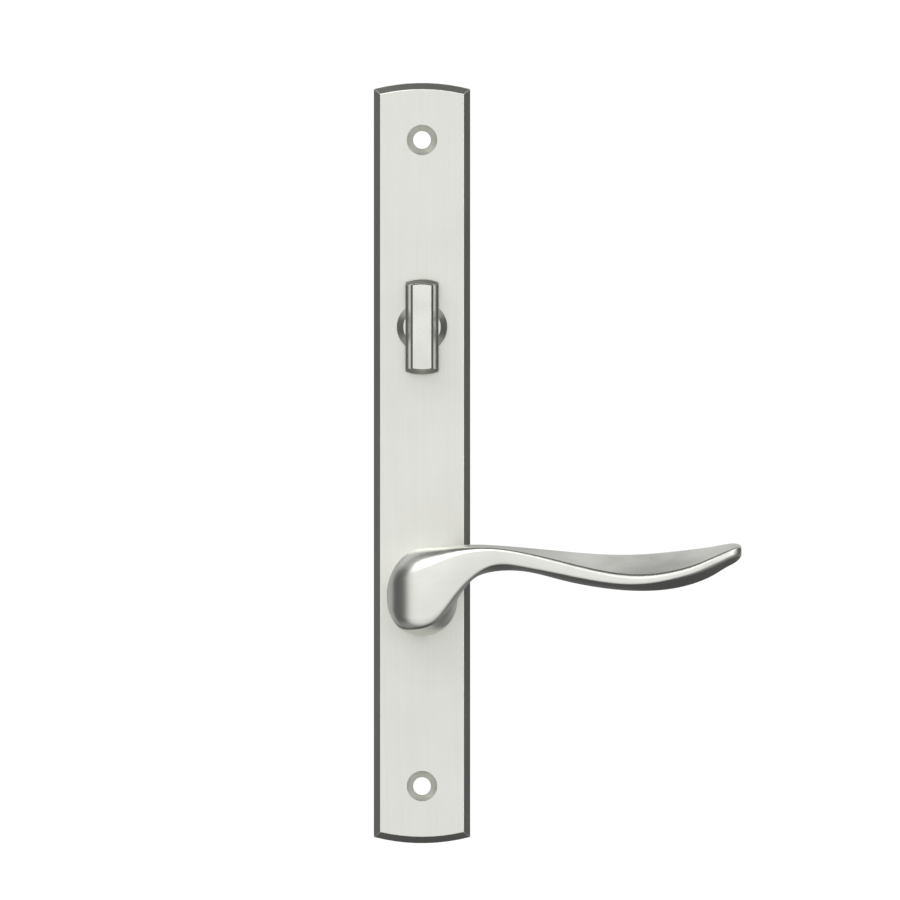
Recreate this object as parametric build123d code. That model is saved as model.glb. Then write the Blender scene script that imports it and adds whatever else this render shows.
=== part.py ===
from build123d import *
import math
import os

os.makedirs("parts", exist_ok=True)

# ---------------------------------------------------------------------------
# Lever handle on a long plate with a thumbturn above it (door lock trim).
# Frame: X right, Z up, the front faces -Y.  y = 0 is the face that sits on the
# door; "depth" d below means distance in front of it (d = -y).  The origin is
# midway between the two fixing holes.  Millimetres.
# ---------------------------------------------------------------------------

# plate
PLATE_W = 32.6            # width
PLATE_CORNER_Z = 126.4    # half height at the corners
PLATE_PEAK_Z = 128.5      # half height at the crown of the arched ends
PLATE_T = 11.0            # thickness, back to front
PLATE_BEVEL = 2.2         # bevel round the front edge
PLATE_SOFT = 0.45         # rounding of its edges
PLATE_WALL = 2.3          # side wall
PLATE_FLOOR_D = 8.2       # depth of the pocket floor behind the front wall
FIX_Z = 109.2             # half spacing of the fixing holes
FIX_R = 3.0               # fixing hole radius
FIX_CSK_R = 5.15          # countersink radius at the front face
POST_R = 6.4              # post round each fixing hole
AXIS_Z = 46.0             # lever axis at -AXIS_Z, thumbturn axis at +AXIS_Z

# lever bearing
LEVER_BASE_D = 11.45      # underside of the lever neck
HUB_R = 7.5               # lever hub
HUB_END_D = 0.35
HUB_FLAT = 6.6            # half width over the two hub flats
HUB_FLAT_D = 3.65
BUSH_IN_R = 7.55
BUSH_OUT_R = 9.3
BUSH_FLANGE_R = 10.5
BUSH_BACK_D = 4.3
BOSS_R = 11.1             # plate boss round the lever bush

# return spring
WIRE_R = 0.65
COIL_R = 12.1
COIL_FRONT_D = 7.45
COIL_BACK_D = 4.62
LEG_X = 2.35              # each leg's distance from the centre line
LEG_R = 0.72
LEG_END_R = 16.6
LUG_HALF = 1.45           # half width of the fixed lug and of the driver tab
TAB_IN, TAB_OUT = 13.15, 15.1
LUG_IN, LUG_OUT = 15.5, 17.0

# lever return stops
LEVER_RANGE = 40.0        # degrees each way
FINGER_HALF = 2.0
FINGER_R = 14.4
STOP_GAP_DEG = 0.8

# spindle
SPINDLE = 8.0             # square
SPINDLE_FRONT_D = 27.0
SPINDLE_BACK_Y = 62.0
SOCKET = 8.1
SOCKET_FRONT_D = 28.0
GRUB_R = 2.45
GRUB_D = 18.0             # depth of the grub screw's axis

# thumbturn
TURN_BASE_D = 11.45
TURN_COLLAR_R = 8.5
TURN_COLLAR_TOP_R = 6.3
TURN_COLLAR_D = 15.6
TURN_BAR_W = 11.2
TURN_FOOT = 0.8           # bevel along the sides of the bar's foot
TURN_FOOT_END = 1.3       # bevel across the ends of the bar's foot
TURN_FOOT_BACK_D = 14.5   # back of the foot
TURN_FOOT_D = 17.0        # front of the foot
TURN_BAR_TOP_W = 6.2      # flat front of the bar
TURN_BAR_EDGE = 0.75      # bevel along the bar's front edges
TURN_BAR_R = 16.1         # ends of the foot turned to this radius
TURN_BAR_END = 0.5        # bevel across the bar's front ends
TURN_FRONT_D = 27.6
STEM_R = 5.0
STEM_END_D = 1.2
TBUSH_IN_R = 5.05
TBUSH_OUT_R = 6.5
TBUSH_FLANGE_R = 7.1
TBUSH_BACK_D = 5.0
TBOSS_R = 8.6
TAIL_W = 7.4
TAIL_T = 1.8
TAIL_FRONT_D = 9.8
TAIL_BACK_Y = 46.0
PIN_R = 1.0
PIN_D = 8.0


# ---------------------------------------------------------------------------
# helpers
# ---------------------------------------------------------------------------
def cyl(r, d0, d1, x=0.0, z=0.0):
    """round bar along the depth from d0 to d1"""
    return Pos(x, -(d0 + d1) / 2, z) * Rot(90, 0, 0) * Cylinder(r, d1 - d0)


def cone(r0, r1, d0, d1, x=0.0, z=0.0):
    """taper along the depth: radius r0 at d0, r1 at d1"""
    return Pos(x, -(d0 + d1) / 2, z) * Rot(90, 0, 0) * Cone(r0, r1, d1 - d0)


def block(x0, x1, d0, d1, z0, z1):
    return Pos((x0 + x1) / 2, -(d0 + d1) / 2, (z0 + z1) / 2) * Box(x1 - x0, d1 - d0, z1 - z0)


def prism(pts, d0, d1):
    """straight-sided outline in (x, z), run from depth d0 to d1"""
    face = Plane.XZ.offset(d0) * make_face(Polyline(*pts, close=True))
    return extrude(face, amount=d1 - d0)


def plate_outline(half_w, corner_z, peak_z):
    return make_face([
        Line((-half_w, -corner_z), (-half_w, corner_z)),
        ThreePointArc((-half_w, corner_z), (0, peak_z), (half_w, corner_z)),
        Line((half_w, corner_z), (half_w, -corner_z)),
        ThreePointArc((half_w, -corner_z), (0, -peak_z), (-half_w, -corner_z)),
    ])


def upright_edges(shape):
    """edges that run along the depth"""
    return shape.edges().filter_by(Axis.Y)


def circlip(r_in, r_out, d0, d1, z, lug_r, hole_r):
    """open retaining ring with two plier holes, gap at the bottom"""
    ring = cyl(r_out, d0, d1, 0, z) - cyl(r_in, d0 - 1, d1 + 1, 0, z)
    lug_z = z - (r_in + r_out) / 2 - 0.25
    lug_x = lug_r + 0.75
    for s in (-1, 1):
        ring += cyl(lug_r, d0, d1, s * lug_x, lug_z)
    ring -= block(-0.75, 0.75, d0 - 1, d1 + 1, z - r_out - 4, z)
    ring -= cyl(r_in, d0 - 1, d1 + 1, 0, z)
    for s in (-1, 1):
        ring -= cyl(hole_r, d0 - 1, d1 + 1, s * lug_x, lug_z - 0.1)
    return ring


def solid_of(shape):
    """the one solid of a finished piece"""
    s = shape.solids()
    assert len(s) == 1, len(s)
    return s[0]


# ---------------------------------------------------------------------------
# escutcheon plate: cast, hollow behind, with posts, bosses, ribs, spring lug
# and the two lever stops
# ---------------------------------------------------------------------------
LZ, TZ = -AXIS_Z, AXIS_Z
half_w = PLATE_W / 2

plate = extrude(Plane.XZ * plate_outline(half_w, PLATE_CORNER_Z, PLATE_PEAK_Z), amount=PLATE_T)
front = plate.faces().sort_by(Axis.Y)[0]
plate = chamfer(front.edges(), PLATE_BEVEL)
# soften every edge but the back rim
plate = fillet([e for e in plate.edges() if e.bounding_box().min.Y < -0.5], PLATE_SOFT)

pocket = extrude(Plane.XZ.offset(-1) * plate_outline(half_w - PLATE_WALL, PLATE_CORNER_Z - PLATE_WALL,
                                                     PLATE_PEAK_Z - PLATE_WALL), amount=PLATE_FLOOR_D + 1)
pocket = fillet(upright_edges(pocket), 2.0)
for s in (-1, 1):
    pocket -= cyl(POST_R, -1, PLATE_FLOOR_D, 0, s * FIX_Z)
    pocket -= block(-16, 16, 2.0, PLATE_FLOOR_D, s * FIX_Z - 0.9, s * FIX_Z + 0.9)
# bearing bosses
pocket -= cyl(BOSS_R, BUSH_BACK_D + 0.1, PLATE_FLOOR_D, 0, LZ)
pocket -= cyl(TBOSS_R, TBUSH_BACK_D + 0.1, PLATE_FLOOR_D, 0, TZ)
# cross ribs
for rz in (-90.0, 8.0, 24.0, 72.0, 90.0):
    pocket -= block(-16, 16, 2.0, PLATE_FLOOR_D, rz - 0.8, rz + 0.8)
# long rib between the turn boss and the lever cover
pocket -= block(-0.8, 0.8, 2.0, PLATE_FLOOR_D, -8.0, 37.0)
pocket -= block(-0.8, 0.8, 2.0, PLATE_FLOOR_D, 55.0, 104.0)
pocket -= block(-0.8, 0.8, 2.0, PLATE_FLOOR_D, -104.0, -73.0)
# posts that carry the spring cover
COVER_POST_Z = (LZ + 24.5, LZ - 21.0)
for cz in COVER_POST_Z:
    pocket -= cyl(3.4, 2.05, PLATE_FLOOR_D, 0, cz)
# fixed lug between the two spring legs
pocket -= block(-LUG_HALF, LUG_HALF, 3.9, PLATE_FLOOR_D, LZ + LUG_IN, LZ + LUG_OUT)
# two stops for the driver's finger, left and right of the bottom
stop_deg = LEVER_RANGE + math.degrees(math.asin(FINGER_HALF / 13.9)) + STOP_GAP_DEG
for s in (-1, 1):
    pts = []
    for r, a in ((13.1, stop_deg), (15.6, stop_deg), (18.5, stop_deg + 8), (16.6, stop_deg + 17), (13.1, stop_deg + 17)):
        pts.append((s * r * math.sin(math.radians(a)), LZ - r * math.cos(math.radians(a))))
    pocket -= prism(pts, 2.15, PLATE_FLOOR_D)
plate -= pocket
# fixing holes
for s in (-1, 1):
    plate -= cyl(FIX_R, -1, PLATE_T + 1, 0, s * FIX_Z)
    plate -= cone(FIX_R, FIX_CSK_R, PLATE_T - (FIX_CSK_R - FIX_R), PLATE_T, 0, s * FIX_Z)
# bearing bores, each with a shallow seat for the bush flange
plate -= cyl(BUSH_OUT_R + 0.02, -1, PLATE_T + 1, 0, LZ)
plate -= cyl(BUSH_FLANGE_R + 0.1, PLATE_T - 0.5, PLATE_T + 1, 0, LZ)
plate -= cyl(TBUSH_OUT_R + 0.02, -1, PLATE_T + 1, 0, TZ)
plate -= cyl(TBUSH_FLANGE_R + 0.1, PLATE_T - 0.5, PLATE_T + 1, 0, TZ)
# pilot holes for the cover screws
for cz in COVER_POST_Z:
    plate -= cyl(1.5, 1.0, 7.6, 0, cz)
plate = solid_of(plate)

# ---------------------------------------------------------------------------
# bushes
# ---------------------------------------------------------------------------
lever_bush = cyl(BUSH_OUT_R, BUSH_BACK_D, 10.52, 0, LZ) + cyl(BUSH_FLANGE_R, 10.52, 11.4, 0, LZ)
lever_bush = lever_bush - cyl(BUSH_IN_R, 0, 20, 0, LZ)
turn_bush = cyl(TBUSH_OUT_R, TBUSH_BACK_D, 10.52, 0, TZ) + cyl(TBUSH_FLANGE_R, 10.52, 11.4, 0, TZ)
turn_bush = turn_bush - cyl(TBUSH_IN_R, 0, 20, 0, TZ)

# ---------------------------------------------------------------------------
# lever handle: one skin through a run of sections.  Each section is a rounded
# four-sided outline with corners T (back top), C (front top), L (front bottom)
# and K (back bottom), made of eight cubic arcs.  The sections stand square
# across a bend from the egg-shaped neck into the arm, and then across the arm.
# Section axes: a = depth (or distance from the bend's centre), b = height above
# the lever axis.
# ---------------------------------------------------------------------------
BEND_U, BEND_D = 20.0, 26.0      # the bend's upright centre line
NECK_TOP_D = 24.0                # straight neck below this depth


def unit(x, y):
    n = math.hypot(x, y)
    return x / n, y / n


def section(P, cuts, crown):
    """eight cubic arcs: corner, side, corner, side ..."""
    e, nrm = [], []
    for i in range(4):
        j = (i + 1) % 4
        d = unit(P[j][0] - P[i][0], P[j][1] - P[i][1])
        e.append(d)
        nrm.append((-d[1], d[0]))
    start, end, t_start, t_end = [], [], [], []
    for i in range(4):
        j = (i + 1) % 4
        start.append((P[i][0] + e[i][0] * cuts[i][1], P[i][1] + e[i][1] * cuts[i][1]))
        end.append((P[j][0] - e[i][0] * cuts[j][0], P[j][1] - e[i][1] * cuts[j][0]))
        t_start.append(unit(e[i][0] + crown[i] * nrm[i][0], e[i][1] + crown[i] * nrm[i][1]))
        t_end.append(unit(e[i][0] - crown[i] * nrm[i][0], e[i][1] - crown[i] * nrm[i][1]))
    arcs = []
    for i in range(4):
        p = (i - 1) % 4
        a, b = end[p], start[i]
        ci, co = cuts[i][0] * 0.5523, cuts[i][1] * 0.5523
        arcs.append((a, (a[0] + t_end[p][0] * ci, a[1] + t_end[p][1] * ci),
                     (b[0] - t_start[i][0] * co, b[1] - t_start[i][1] * co), b))
        a, b = start[i], end[i]
        third = math.hypot(b[0] - a[0], b[1] - a[1]) / 3
        arcs.append((a, (a[0] + t_start[i][0] * third, a[1] + t_start[i][1] * third),
                     (b[0] - t_end[i][0] * third, b[1] - t_end[i][1] * third), b))
    return arcs


def cubic(c, t):
    s = 1 - t
    return tuple(s ** 3 * c[0][i] + 3 * s * s * t * c[1][i] + 3 * s * t * t * c[2][i] + t ** 3 * c[3][i]
                 for i in range(2))


def section_wire(to_xyz, P, cuts, crown):
    return Wire([Edge.make_bezier(*[Vector(*to_xyz(*p)) for p in arc]) for arc in section(P, cuts, crown)])


def mix(a, b, t):
    return a + (b - a) * t


def ease(t):
    return t * t * (3 - 2 * t)


# plan curves of the bend (u, d): outside and inside
NECK_LEFT, NECK_RIGHT = -11.8, 11.9
BEND_OUT = ((NECK_LEFT, 26.0), (NECK_LEFT, 52.0), (-11.4, 54.3), (20.0, 55.6))
BEND_IN = ((NECK_RIGHT, 26.0), (NECK_RIGHT, 32.3), (14.6, 37.9), (20.0, 39.4))


def reach(curve, deg):
    """distance from the bend's centre to a plan curve at an angle from -u toward the front"""
    want = math.radians(deg)
    lo, hi = 0.0, 1.0
    for _ in range(60):
        mid = (lo + hi) / 2
        u, d = cubic(curve, mid)
        if math.atan2(d - BEND_D, BEND_U - u) < want:
            lo = mid
        else:
            hi = mid
    u, d = cubic(curve, (lo + hi) / 2)
    return math.hypot(u - BEND_U, d - BEND_D)


# neck outline (heights, corner cuts) and the section where the arm begins
NECK_B = (18.3, 16.6, -12.3, -12.3)
NECK_CUT = ((8.0, 5.0), (16.4, 14.5), (12.5, 11.4), (11.4, 12.0))
ROOT_B = (18.6, 17.5, 9.1, 8.0)
ROOT_CUT = ((2.6, 2.6), (1.3, 1.3), (1.3, 1.3), (3.4, 3.2))
ROOT_CROWN = (0.04, 0.05, 0.05, 0.14)


def bend_section(deg):
    t = deg / 90
    r_out, r_in = reach(BEND_OUT, deg), reach(BEND_IN, deg)
    # the front's lower edge stays low across the head, so that its face is nearly flat
    rise = [ease(t), ease(t), ease(max(0.0, (deg - 46) / 44)) ** 1.35, ease(t)]
    b = [mix(NECK_B[i], ROOT_B[i], rise[i]) for i in range(4)]
    P = [(r_in, b[0]), (r_out, b[1]), (r_out, b[2]), (r_in, b[3])]
    q = ease(t) ** 1.35
    cuts = [[mix(NECK_CUT[i][k], ROOT_CUT[i][k], q) for k in (0, 1)] for i in range(4)]
    tight = 1 - 0.3 * math.sin(math.pi * min(1.0, max(0.0, (deg - 25) / 60)))
    cuts[2] = [c * tight for c in cuts[2]]
    for i in range(4):
        j = (i + 1) % 4
        side = math.hypot(P[j][0] - P[i][0], P[j][1] - P[i][1])
        total = cuts[i][1] + cuts[j][0]
        if total > side - 0.7:
            f = (side - 0.7) / total
            cuts[i][1] *= f
            cuts[j][0] *= f
    crown = [mix(0.0, c, ease(t)) for c in ROOT_CROWN]
    c, s = math.cos(math.radians(deg)), math.sin(math.radians(deg))
    return section_wire(lambda a, h: (BEND_U - a * c, -(BEND_D + a * s), LZ + h), P, cuts, crown)


# along the arm: u, top, front-face upper edge, front-face lower edge, bottom, front depth, back depth
ARM = (
    (33.1, 17.55, 16.1, 10.7, 9.5, 56.5, 42.0),
    (46.6, 16.3, 12.85, 8.1, 6.55, 57.3, 43.05),
    (60.2, 15.2, 9.4, 5.5, 3.85, 57.8, 43.35),
    (73.7, 15.15, 7.85, 4.7, 2.75, 57.8, 43.4),
    (87.2, 16.35, 9.7, 7.05, 4.0, 56.9, 43.3),
    (94.0, 17.15, 11.95, 9.2, 6.0, 55.95, 43.4),
    (99.0, 17.9, 14.25, 11.4, 8.35, 55.0, 43.75),
    (103.0, 18.65, 16.0, 13.25, 10.8, 53.95, 44.4),
    (105.6, 18.85, 17.2, 14.4, 12.2, 52.95, 45.2),
    (107.2, 18.45, 17.5, 15.1, 13.5, 51.8, 46.4),
    (108.0, 17.4, 16.95, 15.8, 15.0, 50.4, 48.0),
)


def arm_section(u, top, edge_up, edge_low, bottom, front_d, back_d):
    size = min(1.0, (front_d - back_d) / 12.0)
    h, face = top - bottom, edge_up - edge_low
    T, C, L, K = [back_d, top], [front_d, edge_up], [front_d, edge_low], [back_d, bottom]
    cuts = [(min(2.4 * size, 0.3 * h), 2.4 * size),
            (1.0 * size, min(1.0 * size, 0.35 * face)),
            (min(1.0 * size, 0.35 * face), 1.0 * size),
            (3.4 * size, min(3.8 * size, 0.4 * h))]
    crown = (0.05, 0.06, 0.06, 0.16)
    # move the corners until the rounded outline just reaches the stated limits
    for _ in range(12):
        pts = [cubic(arc, i / 12) for arc in section((T, C, L, K), cuts, crown) for i in range(12)]
        T[1] += top - max(p[1] for p in pts)
        K[1] += bottom - min(p[1] for p in pts)
        T[0] += back_d - min(p[0] for p in pts)
        K[0] = T[0]
        C[0] += front_d - max(p[0] for p in pts)
        L[0] = C[0]
    return section_wire(lambda a, b: (u, -a, LZ + b), (T, C, L, K), cuts, crown)


def neck_section(d):
    return section_wire(lambda a, h: (BEND_U - a, -d, LZ + h),
                        [(BEND_U - NECK_RIGHT, NECK_B[0]), (BEND_U - NECK_LEFT, NECK_B[1]),
                         (BEND_U - NECK_LEFT, NECK_B[2]), (BEND_U - NECK_RIGHT, NECK_B[3])],
                        NECK_CUT, (0, 0, 0, 0))


wires = [neck_section(NECK_TOP_D)]
wires += [bend_section(a) for a in (0, 11, 23, 35, 46, 59, 74, 90)]
wires += [arm_section(*row) for row in ARM]
skin = Solid.make_loft(wires)
neck = extrude(Face(neck_section(LEVER_BASE_D)), amount=NECK_TOP_D - LEVER_BASE_D, dir=(0, -1, 0))
rim = neck.faces().sort_by(Axis.Y)[-1]
neck = fillet(rim.edges(), 0.6)
lever = neck + skin

# hub behind the neck, with two flats and a ring groove
hub = cyl(HUB_R, HUB_END_D, LEVER_BASE_D + 1, 0, LZ)
hub = chamfer(hub.edges().sort_by(Axis.Y)[-1], 0.3)
for s in (-1, 1):
    x0, x1 = sorted((s * HUB_FLAT, s * 12))
    hub -= block(x0, x1, 0, HUB_FLAT_D, LZ - 10, LZ + 10)
hub -= cyl(HUB_R + 1, 0.93, 2.03, 0, LZ) - cyl(7.05, 0, 3, 0, LZ)
lever += hub
# square socket for the spindle and the hole for its grub screw
lever -= block(-SOCKET / 2, SOCKET / 2, 0, SOCKET_FRONT_D, LZ - SOCKET / 2, LZ + SOCKET / 2)
lever -= Pos(0, -GRUB_D, LZ - 10) * Cylinder(GRUB_R + 0.05, 16)
lever = solid_of(lever)

# ---------------------------------------------------------------------------
# lever bearing stack, front to back
# ---------------------------------------------------------------------------
thrust_washer = cyl(10.75, 3.7, 4.2, 0, LZ) - cyl(7.6, 0, 9, 0, LZ)

# driver: disc on the hub flats, tab forward between the spring legs, finger
# between the stops
driver = cyl(10.9, 2.12, 3.6, 0, LZ)
driver += block(-LUG_HALF, LUG_HALF, 2.12, 3.6, LZ, LZ + TAB_OUT)
driver += block(-FINGER_HALF, FINGER_HALF, 2.12, 3.6, LZ - FINGER_R, LZ)
driver += block(-LUG_HALF, LUG_HALF, 2.12, 7.9, LZ + TAB_IN, LZ + TAB_OUT)
double_d = cyl(HUB_R + 0.05, 0, 9, 0, LZ) & block(-HUB_FLAT - 0.05, HUB_FLAT + 0.05, 0, 9, LZ - 10, LZ + 10)
driver -= double_d
driver = solid_of(driver)

# return spring: two turns round the boss, legs out past the tab and the lug
leg_a = math.degrees(math.asin(LEG_X / COIL_R))
turns = 2.0 + 2 * leg_a / 360
coil_h = COIL_FRONT_D - COIL_BACK_D
RUNS = 3
coil = None
for i in range(RUNS):
    run_path = Helix(pitch=coil_h / turns, height=coil_h / RUNS, radius=COIL_R)
    run = sweep(Plane(origin=run_path @ 0, z_dir=run_path % 0) * Circle(WIRE_R), path=run_path)
    run = Pos(0, 0, i * coil_h / RUNS) * Rot(0, 0, i * 360 * turns / RUNS) * run
    coil = run if coil is None else coil + run
# the coil was wound up +Z from +X: stand it along the depth, starting beside the top
coil = Pos(0, -COIL_BACK_D, LZ) * Rot(90, 0, 0) * Rot(0, 0, 90 - leg_a) * coil
coil_z = LZ + math.sqrt(COIL_R ** 2 - LEG_X ** 2)


def leg(x, d):
    z0, z1 = coil_z - 0.75, LZ + LEG_END_R
    return Pos(x, -d, (z0 + z1) / 2) * Cylinder(LEG_R, z1 - z0)


lever_spring = coil + leg(LEG_X, COIL_BACK_D) + leg(-LEG_X, COIL_FRONT_D)
lever_spring = solid_of(lever_spring)

lever_circlip = solid_of(circlip(7.1, 9.4, 0.98, 1.98, LZ, 1.25, 0.6))

# spindle
spindle = block(-SPINDLE / 2, SPINDLE / 2, -SPINDLE_BACK_Y, SPINDLE_FRONT_D, LZ - SPINDLE / 2, LZ + SPINDLE / 2)
spindle = fillet(upright_edges(spindle), 0.6)
spindle = chamfer(spindle.faces().sort_by(Axis.Y)[0].edges() + spindle.faces().sort_by(Axis.Y)[-1].edges(), 0.5)

# grub screw, hex socket downward, cup against the spindle
grub = Pos(0, -GRUB_D, LZ - 7.1) * Cylinder(GRUB_R, 6.0)
grub = chamfer(grub.edges().filter_by(GeomType.CIRCLE), 0.4)
grub -= Pos(0, -GRUB_D, LZ - 10.1 + 1.25) * extrude(RegularPolygon(1.25, 6, major_radius=False), amount=2.6, both=True)

# cover over the spring and the driver
cover = block(-13.5, 13.5, 1.0, 2.0, LZ - 24.8, LZ + 28.3)
cover = fillet(upright_edges(cover), 1.8)
cover -= cyl(11.25, 0, 4, 0, LZ)
for cz in COVER_POST_Z:
    cover -= cyl(1.6, 0, 4, 0, cz)
cover = solid_of(cover)

cover_screws = []
for cz in COVER_POST_Z:
    head = cyl(2.75, 0.12, 0.98, 0, cz)
    head = fillet(head.edges().sort_by(Axis.Y)[-1], 0.45)
    screw = head + cyl(1.45, 0.5, 6.8, 0, cz)
    screw -= block(-1.5, 1.5, 0, 0.6, cz - 0.25, cz + 0.25)
    screw -= block(-0.25, 0.25, 0, 0.6, cz - 1.5, cz + 1.5)
    cover_screws.append(solid_of(screw))

# ---------------------------------------------------------------------------
# thumbturn
# ---------------------------------------------------------------------------
slope_d = TURN_COLLAR_D - (TURN_COLLAR_R - TURN_COLLAR_TOP_R)
collar = cyl(TURN_COLLAR_R, TURN_BASE_D, slope_d, 0, TZ)
collar += cone(TURN_COLLAR_R, TURN_COLLAR_TOP_R, slope_d, TURN_COLLAR_D, 0, TZ)
bar_d = TURN_FOOT_BACK_D
end_r = TURN_BAR_R - TURN_FOOT_END
bar = cyl(TURN_BAR_R, bar_d, TURN_FOOT_D - TURN_FOOT_END, 0, TZ)
bar += cone(TURN_BAR_R, end_r, TURN_FOOT_D - TURN_FOOT_END, TURN_FOOT_D, 0, TZ)
bar += cyl(end_r, TURN_FOOT_D, TURN_FRONT_D - TURN_BAR_END, 0, TZ)
bar += cone(end_r, end_r - TURN_BAR_END, TURN_FRONT_D - TURN_BAR_END, TURN_FRONT_D, 0, TZ)
edge_x, edge_d = TURN_BAR_TOP_W / 2 + TURN_BAR_EDGE, TURN_FRONT_D - TURN_BAR_EDGE
slab = extrude(Plane.XY.offset(TZ - 20) * make_face(Polyline(
    (-TURN_BAR_W / 2, -bar_d), (TURN_BAR_W / 2, -bar_d), (TURN_BAR_W / 2, -(TURN_FOOT_D - TURN_FOOT)),
    (TURN_BAR_W / 2 - TURN_FOOT, -TURN_FOOT_D), (edge_x, -edge_d), (TURN_BAR_TOP_W / 2, -TURN_FRONT_D),
    (-TURN_BAR_TOP_W / 2, -TURN_FRONT_D), (-edge_x, -edge_d), (TURN_FOOT - TURN_BAR_W / 2, -TURN_FOOT_D),
    (-TURN_BAR_W / 2, -(TURN_FOOT_D - TURN_FOOT)), close=True)), amount=40)
bar = bar & slab
bar = fillet(bar.edges(), 0.16)
turn = collar + bar
stem = cyl(STEM_R, STEM_END_D, TURN_BASE_D + 1, 0, TZ)
stem = chamfer(stem.edges().sort_by(Axis.Y)[-1], 0.3)
stem -= cyl(STEM_R + 1, 1.95, 3.05, 0, TZ) - cyl(4.6, 0, 5, 0, TZ)
turn += stem
# slot for the tailpiece and the cross hole for its pin
turn -= block(-TAIL_T / 2 - 0.05, TAIL_T / 2 + 0.05, 0, TAIL_FRONT_D + 0.2, TZ - TAIL_W / 2 - 0.05, TZ + TAIL_W / 2 + 0.05)
turn -= Pos(0, -PIN_D, TZ) * Rot(0, 90, 0) * Cylinder(PIN_R + 0.02, 12)
turn = solid_of(turn)

# conical spring washer: gives the turn its drag
disc_profile = make_face(Polyline((5.35, 4.02), (5.35, 4.42), (8.1, 4.97), (8.1, 4.57), close=True))
disc_spring = revolve(disc_profile, axis=Axis.Y)
disc_spring = Pos(0, 0, TZ) * mirror(disc_spring, about=Plane.XZ)
turn_washer = cyl(7.8, 3.15, 3.95, 0, TZ) - cyl(5.1, 0, 9, 0, TZ)
turn_circlip = solid_of(circlip(4.65, 6.5, 2.0, 3.0, TZ, 1.05, 0.5))

tailpiece = block(-TAIL_T / 2, TAIL_T / 2, -TAIL_BACK_Y, TAIL_FRONT_D, TZ - TAIL_W / 2, TZ + TAIL_W / 2)
tailpiece = chamfer(tailpiece.faces().sort_by(Axis.Y)[-1].edges().filter_by(Axis.X), 1.2)
tailpiece = fillet(upright_edges(tailpiece), 0.2)
tailpiece -= Pos(0, -PIN_D, TZ) * Rot(0, 90, 0) * Cylinder(PIN_R + 0.05, 6)
tailpiece = solid_of(tailpiece)
tail_pin = Pos(0, -PIN_D, TZ) * Rot(0, 90, 0) * Cylinder(PIN_R, 9.4)
tail_pin = chamfer(tail_pin.edges().filter_by(GeomType.CIRCLE), 0.25)

# ---------------------------------------------------------------------------
# one STEP per piece
# ---------------------------------------------------------------------------
PIECES = {
    "escutcheon_plate": plate,
    "lever_bush": lever_bush,
    "lever_handle": lever,
    "lever_thrust_washer": thrust_washer,
    "spring_driver": driver,
    "lever_return_spring": lever_spring,
    "lever_circlip": lever_circlip,
    "spindle": spindle,
    "spindle_grub_screw": grub,
    "spring_cover": cover,
    "cover_screws": Compound(children=cover_screws),
    "thumbturn": turn,
    "turn_bush": turn_bush,
    "turn_disc_spring": disc_spring,
    "turn_washer": turn_washer,
    "turn_circlip": turn_circlip,
    "tailpiece": tailpiece,
    "tailpiece_pin": tail_pin,
}
for name, shape in PIECES.items():
    export_step(shape, f"parts/{name}.step")
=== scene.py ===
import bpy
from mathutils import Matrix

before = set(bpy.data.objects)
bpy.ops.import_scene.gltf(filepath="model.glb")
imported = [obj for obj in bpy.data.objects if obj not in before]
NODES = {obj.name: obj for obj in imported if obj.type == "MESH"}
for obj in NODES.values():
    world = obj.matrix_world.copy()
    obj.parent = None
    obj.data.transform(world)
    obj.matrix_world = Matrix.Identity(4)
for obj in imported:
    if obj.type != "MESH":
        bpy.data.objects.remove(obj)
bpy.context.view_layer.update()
import math
import bpy
from mathutils import Vector

scene = bpy.context.scene
scene.view_settings.view_transform = "Standard"
scene.view_settings.look = "None"
scene.view_settings.exposure = 0.0
scene.view_settings.gamma = 1.0


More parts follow.
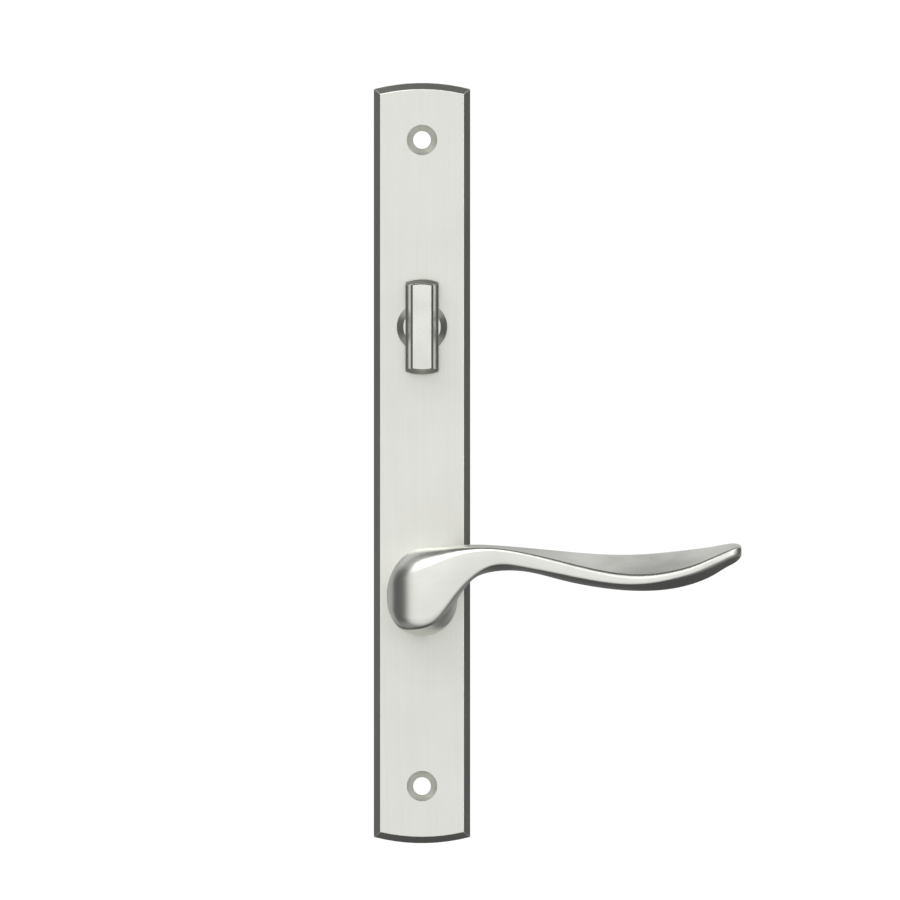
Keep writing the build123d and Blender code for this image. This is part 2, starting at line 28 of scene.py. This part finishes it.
# ---------------------------------------------------------------------------
# node helpers
# ---------------------------------------------------------------------------
class Tree:
    def __init__(self, tree):
        self.t = tree
        tree.nodes.clear()

    def add(self, kind, **props):
        n = self.t.nodes.new(kind)
        for k, v in props.items():
            setattr(n, k, v)
        return n

    def link(self, a, b):
        self.t.links.new(a, b)

    def put(self, socket, value):
        if hasattr(value, "is_output"):
            self.link(value, socket)
        else:
            socket.default_value = value

    def math(self, op, a, b=0.0, c=None, clamp=False):
        n = self.add("ShaderNodeMath", operation=op, use_clamp=clamp)
        self.put(n.inputs[0], a)
        self.put(n.inputs[1], b)
        if c is not None:
            self.put(n.inputs[2], c)
        return n.outputs[0]

    def step(self, value, lo, hi, a=0.0, b=1.0):
        n = self.add("ShaderNodeMapRange", interpolation_type="SMOOTHSTEP")
        self.put(n.inputs["Value"], value)
        n.inputs["From Min"].default_value = lo
        n.inputs["From Max"].default_value = hi
        n.inputs["To Min"].default_value = a
        n.inputs["To Max"].default_value = b
        return n.outputs["Result"]

    def mix(self, fac, a, b):
        n = self.add("ShaderNodeMix", data_type="RGBA")
        self.put(n.inputs[0], fac)
        self.put(n.inputs[6], a)
        self.put(n.inputs[7], b)
        return n.outputs[2]

    def coords(self, scale, rotation=(0, 0, 0)):
        tc = self.add("ShaderNodeTexCoord")
        mp = self.add("ShaderNodeMapping")
        mp.inputs["Scale"].default_value = scale
        mp.inputs["Rotation"].default_value = rotation
        self.link(tc.outputs["Object"], mp.inputs["Vector"])
        return mp.outputs["Vector"]

    def xyz(self):
        """the piece's own coordinates, in metres"""
        tc = self.add("ShaderNodeTexCoord")
        sep = self.add("ShaderNodeSeparateXYZ")
        self.link(tc.outputs["Object"], sep.inputs["Vector"])
        return sep.outputs[0], sep.outputs[1], sep.outputs[2]

    def length(self, a, b):
        return self.math("SQRT", self.math("MULTIPLY_ADD", a, a, self.math("MULTIPLY", b, b)))

    def rings(self, radius, scale):
        """fine turning marks round an axis, from the distance to it"""
        v = self.add("ShaderNodeCombineXYZ")
        self.link(radius, v.inputs[0])
        return self.noise(v.outputs[0], scale, 3.0, 0.6)

    def blend(self, fac, a, b):
        n = self.add("ShaderNodeMix", data_type="FLOAT")
        self.put(n.inputs[0], fac)
        self.put(n.inputs[2], a)
        self.put(n.inputs[3], b)
        return n.outputs[0]

    def noise(self, vec, scale, detail=2.0, rough=0.5, distort=0.0):
        n = self.add("ShaderNodeTexNoise")
        self.link(vec, n.inputs["Vector"])
        n.inputs["Scale"].default_value = scale
        n.inputs["Detail"].default_value = detail
        n.inputs["Roughness"].default_value = rough
        n.inputs["Distortion"].default_value = distort
        return n.outputs["Fac"]


def rgba(r, g, b):
    return (r, g, b, 1.0)


def metal(name, tint, tint2, rough, rough_span, grain, grain_bump, cloud=40.0, cloud_bump=0.0, aniso=0.0):
    """plated metal with a directional grain.  grain: scale along x, y, z of the fine lines."""
    m = bpy.data.materials.new(name)
    m.use_nodes = True
    t = Tree(m.node_tree)
    out = t.add("ShaderNodeOutputMaterial")
    sh = t.add("ShaderNodeBsdfPrincipled")
    t.link(sh.outputs["BSDF"], out.inputs["Surface"])
    sh.inputs["Metallic"].default_value = 1.0
    sh.inputs["Anisotropic"].default_value = aniso
    lines = t.noise(t.coords(grain), 1.0, 3.0, 0.65)
    soft = t.noise(t.coords((1, 1, 1)), cloud, 3.0, 0.55)
    smudge = t.noise(t.coords((1, 1, 1)), cloud * 0.35, 2.0, 0.5, 0.4)
    # colour: plating a touch warmer and darker in soft patches and along the lines
    f = t.math("MULTIPLY_ADD", lines, 0.55, t.math("MULTIPLY", soft, 0.45))
    col = t.mix(t.step(f, 0.3, 0.7), rgba(*tint2), rgba(*tint))
    t.link(col, sh.inputs["Base Color"])
    # roughness: grain plus handling marks
    r = t.math("MULTIPLY_ADD", t.math("SUBTRACT", lines, 0.5), rough_span, rough)
    r = t.math("MULTIPLY_ADD", t.math("SUBTRACT", smudge, 0.5), rough_span * 0.8, r, clamp=True)
    t.link(r, sh.inputs["Roughness"])
    b = t.add("ShaderNodeBump")
    b.inputs["Strength"].default_value = grain_bump
    b.inputs["Distance"].default_value = 0.0001
    h = lines
    if cloud_bump:
        h = t.math("MULTIPLY_ADD", soft, cloud_bump, lines)
    t.link(h, b.inputs["Height"])
    t.link(b.outputs["Normal"], sh.inputs["Normal"])
    return m


def plastic(name, tint, tint2, rough):
    m = bpy.data.materials.new(name)
    m.use_nodes = True
    t = Tree(m.node_tree)
    out = t.add("ShaderNodeOutputMaterial")
    sh = t.add("ShaderNodeBsdfPrincipled")
    t.link(sh.outputs["BSDF"], out.inputs["Surface"])
    soft = t.noise(t.coords((1, 1, 1)), 260.0, 3.0, 0.5)
    fine = t.noise(t.coords((1, 1, 1)), 2600.0, 2.0, 0.5)
    t.link(t.mix(t.step(soft, 0.3, 0.7), rgba(*tint2), rgba(*tint)), sh.inputs["Base Color"])
    t.link(t.math("MULTIPLY_ADD", t.math("SUBTRACT", fine, 0.5), 0.16, rough, clamp=True), sh.inputs["Roughness"])
    b = t.add("ShaderNodeBump")
    b.inputs["Strength"].default_value = 0.12
    b.inputs["Distance"].default_value = 0.00008
    t.link(fine, b.inputs["Height"])
    t.link(b.outputs["Normal"], sh.inputs["Normal"])
    return m


# satin nickel, brushed along the plate, along the lever's arm and along the turn's bar
NICKEL, NICKEL_2 = (0.80, 0.805, 0.755), (0.76, 0.762, 0.71)
RUBBED = (0.86, 0.862, 0.815)
CAST, CAST_2 = (0.66, 0.66, 0.635), (0.56, 0.56, 0.54)


def nickel(name, zones, rough, grain, along, cloud, relief):
    """brushed nickel over a casting.  zones(t, x, y, z) gives, each 0 to 1 or None: machined (with the
    radius of its turning marks), rubbed bright by hands or cloth, left matt, left as cast, and how far the
    brushed lines are bent up or down.  grain: scale of the lines along x, y, z; along: the axis they follow;
    relief: strength of the bump"""
    m = bpy.data.materials.new(name)
    m.use_nodes = True
    t = Tree(m.node_tree)
    out = t.add("ShaderNodeOutputMaterial")
    sh = t.add("ShaderNodeBsdfPrincipled")
    t.link(sh.outputs["BSDF"], out.inputs["Surface"])
    sh.inputs["Metallic"].default_value = 1.0
    x, y, z = t.xyz()
    turned, radius, rubbed, matt, cast, bend = zones(t, x, y, z)
    v = t.add("ShaderNodeCombineXYZ")
    w = z if bend is None else t.math("SUBTRACT", z, bend)
    for socket, value, scale in zip(v.inputs, (x, y, w), grain):
        t.link(t.math("MULTIPLY", value, scale), socket)
    lines = t.noise(v.outputs[0], 1.0, 3.0, 0.65)
    # no lines show where the surface is cut across them
    nrm = t.add("ShaderNodeSeparateXYZ")
    t.link(t.add("ShaderNodeTexCoord").outputs["Normal"], nrm.inputs["Vector"])
    lines = t.blend(t.step(t.math("ABSOLUTE", nrm.outputs[along]), 0.45, 0.80), lines, 0.5)
    if turned is not None:
        lines = t.blend(turned, lines, t.rings(radius, 5200.0))
    soft = t.noise(t.coords((1, 1, 1)), cloud, 3.0, 0.55)
    smudge = t.noise(t.coords((1, 1, 1)), cloud * 0.35, 2.0, 0.5, 0.4)
    f = t.math("MULTIPLY_ADD", lines, 0.55, t.math("MULTIPLY", soft, 0.45))
    col = t.mix(t.step(f, 0.3, 0.7), rgba(*NICKEL_2), rgba(*NICKEL))
    r = t.math("MULTIPLY_ADD", t.math("SUBTRACT", lines, 0.5), 0.10, rough)
    r = t.math("MULTIPLY_ADD", t.math("SUBTRACT", smudge, 0.5), 0.09, r)
    h = lines
    if rubbed is not None:
        rubbed = t.math("MULTIPLY", rubbed, t.step(soft, 0.32, 0.62))
        col = t.mix(rubbed, col, rgba(*RUBBED))
        r = t.math("MULTIPLY_ADD", rubbed, -0.05, r)
    if matt is not None:
        r = t.math("MULTIPLY_ADD", matt, 0.17, r)
    if cast is not None:
        skin = t.noise(t.coords((1, 1, 1)), 1100.0, 3.0, 0.6)
        col = t.mix(cast, col, t.mix(t.step(skin, 0.3, 0.7), rgba(*CAST_2), rgba(*CAST)))
        r = t.blend(cast, r, t.math("MULTIPLY_ADD", t.math("SUBTRACT", skin, 0.5), 0.2, 0.50))
        h = t.blend(cast, lines, t.math("MULTIPLY", skin, 3.5))
    t.link(col, sh.inputs["Base Color"])
    t.link(t.math("MINIMUM", t.math("MAXIMUM", r, 0.05), 1.0), sh.inputs["Roughness"])
    b = t.add("ShaderNodeBump")
    b.inputs["Strength"].default_value = relief
    b.inputs["Distance"].default_value = 0.0001
    t.link(h, b.inputs["Height"])
    t.link(b.outputs["Normal"], sh.inputs["Normal"])
    return m


def plate_zones(t, x, y, z):
    ax, az = t.math("ABSOLUTE", x), t.math("ABSOLUTE", z)
    arch = t.length(x, t.math("MAXIMUM", t.math("SUBTRACT", az, 0.0642), 0.0))
    hole = t.length(x, t.math("SUBTRACT", az, 0.1092))
    sink = t.step(hole, 0.00530, 0.00518)
    # the line where the bevel meets the face is rubbed bright by cleaning
    edge = t.math("MULTIPLY", t.step(ax, 0.01382, 0.01412), t.step(ax, 0.01450, 0.01420))
    ends = t.math("MULTIPLY", t.step(arch, 0.06182, 0.06212), t.step(arch, 0.06250, 0.06220))
    inside = t.math("MULTIPLY", t.step(ax, 0.01408, 0.01398), t.step(arch, 0.06206, 0.06196))
    inside = t.math("MULTIPLY", inside, t.step(y, -0.00838, -0.00822))
    # the plain sides are plated but not brushed
    sides = t.step(y, -0.00890, -0.00865)
    return sink, hole, t.math("MAXIMUM", edge, ends), sides, inside, None


ARM_WAVE = (-0.29576, 0.81535, -0.72397, 0.22857, -0.02484, 0.01390)


def lever_zones(t, x, y, z):
    # the grip is rubbed by hands; the hub behind the neck is turned
    hub = t.step(y, -0.0117, -0.0113)
    # height of the arm's middle line, from its wave along x
    u = t.math("MINIMUM", t.math("MAXIMUM", t.math("MULTIPLY", x, 10.0), 0.12), 1.08)
    bend = ARM_WAVE[0]
    for k in ARM_WAVE[1:]:
        bend = t.math("MULTIPLY_ADD", bend, u, k)
    return hub, t.length(x, t.math("ADD", z, 0.046)), t.step(x, 0.030, 0.058), None, None, bend


def turn_zones(t, x, y, z):
    # collar and stem are turned, the bar's front is rubbed by fingers
    collar = t.step(y, -0.0158, -0.0155)
    return collar, t.length(x, t.math("SUBTRACT", z, 0.046)), t.step(y, -0.0255, -0.0272), None, None, None


plate_nickel = nickel("satin_nickel_plate", plate_zones, 0.33, (2600, 2600, 26), 2, 55.0, 0.09)
lever_nickel = nickel("satin_nickel_lever", lever_zones, 0.33, (30, 900, 900), 0, 60.0, 0.025)
turn_nickel = nickel("satin_nickel_turn", turn_zones, 0.31, (2200, 2200, 60), 2, 70.0, 0.07)
zinc_steel = metal("zinc_plated_steel", (0.66, 0.68, 0.71), (0.58, 0.60, 0.62), 0.30, 0.14, (1500, 60, 1500), 0.10, 160.0, 0.4)
sheet_steel = metal("zinc_plated_sheet", (0.64, 0.66, 0.69), (0.55, 0.57, 0.59), 0.34, 0.14, (60, 1500, 1800), 0.10, 130.0, 0.4)
spring_steel = metal("oiled_spring_steel", (0.20, 0.20, 0.21), (0.13, 0.13, 0.135), 0.34, 0.16, (900, 900, 900), 0.10, 220.0, 0.5)
acetal = plastic("moulded_acetal", (0.83, 0.82, 0.77), (0.78, 0.77, 0.72), 0.42)

PAINT = {
    "escutcheon_plate": (plate_nickel, "satin_nickel"),
    "lever_handle": (lever_nickel, "satin_nickel"),
    "thumbturn": (turn_nickel, "satin_nickel"),
    "spindle": (zinc_steel, "plated_steel"),
    "tailpiece": (zinc_steel, "plated_steel"),
    "tailpiece_pin": (zinc_steel, "plated_steel"),
    "spring_driver": (sheet_steel, "plated_steel"),
    "spring_cover": (sheet_steel, "plated_steel"),
    "cover_screws": (zinc_steel, "plated_steel"),
    "turn_washer": (zinc_steel, "plated_steel"),
    "lever_return_spring": (spring_steel, "spring_steel"),
    "lever_circlip": (spring_steel, "spring_steel"),
    "turn_circlip": (spring_steel, "spring_steel"),
    "turn_disc_spring": (spring_steel, "spring_steel"),
    "spindle_grub_screw": (spring_steel, "spring_steel"),
    "lever_bush": (acetal, "bearing_plastic"),
    "turn_bush": (acetal, "bearing_plastic"),
    "lever_thrust_washer": (acetal, "bearing_plastic"),
}
for node, (mat, slot) in PAINT.items():
    ob = NODES[node]
    ob.data.materials.clear()
    ob.data.materials.append(mat)

# ---------------------------------------------------------------------------
# floor
# ---------------------------------------------------------------------------
floor_mesh = bpy.data.meshes.new("floor")
S = 30.0
FLOOR_Z = -0.1288
floor_mesh.from_pydata([(-S, -S, FLOOR_Z), (S, -S, FLOOR_Z), (S, S, FLOOR_Z), (-S, S, FLOOR_Z)], [], [(0, 1, 2, 3)])
floor = bpy.data.objects.new("floor", floor_mesh)
scene.collection.objects.link(floor)
fm = bpy.data.materials.new("pale_floor")
fm.use_nodes = True
t = Tree(fm.node_tree)
o = t.add("ShaderNodeOutputMaterial")
sh = t.add("ShaderNodeBsdfPrincipled")
sh.inputs["Base Color"].default_value = rgba(0.80, 0.80, 0.79)
sh.inputs["Roughness"].default_value = 0.9
sh.inputs["Emission Color"].default_value = rgba(1.0, 1.0, 0.99)
sh.inputs["Emission Strength"].default_value = 0.20
t.link(sh.outputs["BSDF"], o.inputs["Surface"])
floor_mesh.materials.append(fm)
floor.visible_glossy = False

# ---------------------------------------------------------------------------
# studio: a bright tent in front, a softer panel above and behind, and dark
# flags all round between the two, so that sloped edges read dark
# ---------------------------------------------------------------------------
world = bpy.data.worlds.new("studio")
scene.world = world
world.use_nodes = True
t = Tree(world.node_tree)
wo = t.add("ShaderNodeOutputWorld")
bg = t.add("ShaderNodeBackground")
tc = t.add("ShaderNodeTexCoord")
sep = t.add("ShaderNodeSeparateXYZ")
t.link(tc.outputs["Generated"], sep.inputs["Vector"])
x, y, z = sep.outputs
neg_y = t.math("MULTIPLY", y, -1.0)
front = t.step(neg_y, 0.34, 0.72)
lift = t.step(z, -0.75, 0.75, 0.70, 0.98)
left = t.step(x, 0.10, -0.80)
panel = t.math("MULTIPLY", t.step(y, 0.28, 0.52), t.step(z, 0.22, 0.50))
panel = t.math("MULTIPLY", panel, t.step(y, 0.99, 0.90))
# the room behind, and soft boxes high and low at both sides
abs_x = t.math("ABSOLUTE", x)
under = t.math("MULTIPLY", t.step(z, -0.08, -0.34), t.step(abs_x, 0.60, 0.36))
room = t.math("MULTIPLY", t.step(y, 0.42, 0.75, 0.0, 0.38), t.math("SUBTRACT", 1.0, under))
behind = t.math("MAXIMUM", t.math("MULTIPLY", panel, 0.60), room)
out = t.math("MULTIPLY", t.step(abs_x, 0.30, 0.55), t.step(t.math("ABSOLUTE", y), 0.50, 0.30))
high = t.math("MULTIPLY", out, t.step(z, 0.34, 0.60, 0.0, 0.30))
low = t.math("MULTIPLY", out, t.step(z, -0.30, -0.55, 0.0, 0.20))
L = t.math("MULTIPLY_ADD", front, lift, 0.075)
L = t.math("ADD", behind, L)
L = t.math("ADD", t.math("MAXIMUM", high, low), L)
L = t.math("MULTIPLY_ADD", left, 0.03, L)
# the backdrop itself is plain white
ray = t.add("ShaderNodeLightPath")
seen = t.add("ShaderNodeMix", data_type="FLOAT")
t.link(ray.outputs["Is Camera Ray"], seen.inputs[0])
t.link(L, seen.inputs[2])
seen.inputs[3].default_value = 1.05
t.link(seen.outputs[0], bg.inputs["Strength"])
bg.inputs["Color"].default_value = rgba(1.0, 1.0, 1.0)
t.link(bg.outputs["Background"], wo.inputs["Surface"])


def area(name, loc, target, size, size_y, power):
    d = bpy.data.lights.new(name, "AREA")
    d.shape = "RECTANGLE"
    d.size = size
    d.size_y = size_y
    d.energy = power
    ob = bpy.data.objects.new(name, d)
    scene.collection.objects.link(ob)
    ob.location = loc
    ob.rotation_euler = (Vector(target) - Vector(loc)).to_track_quat("-Z", "Y").to_euler()
    return ob


area("key", (-1.35, -2.25, 1.86), (0.01, -0.02, 0.0), 2.30, 2.30, 36.0)
area("fill", (2.25, -1.95, 0.90), (0.03, -0.02, -0.02), 1.20, 1.80, 10.8)

# ---------------------------------------------------------------------------
# camera: square on to the front, no perspective, framed as the picture
# ---------------------------------------------------------------------------
cam_data = bpy.data.cameras.new("camera")
cam_data.type = "ORTHO"
cam_data.ortho_scale = 0.3042
cam_data.clip_start = 0.01
cam_data.clip_end = 100.0
cam = bpy.data.objects.new("camera", cam_data)
scene.collection.objects.link(cam)
cam.location = (0.00946, -1.0, 0.0044)
cam.rotation_euler = (math.radians(90), 0, 0)
scene.camera = cam
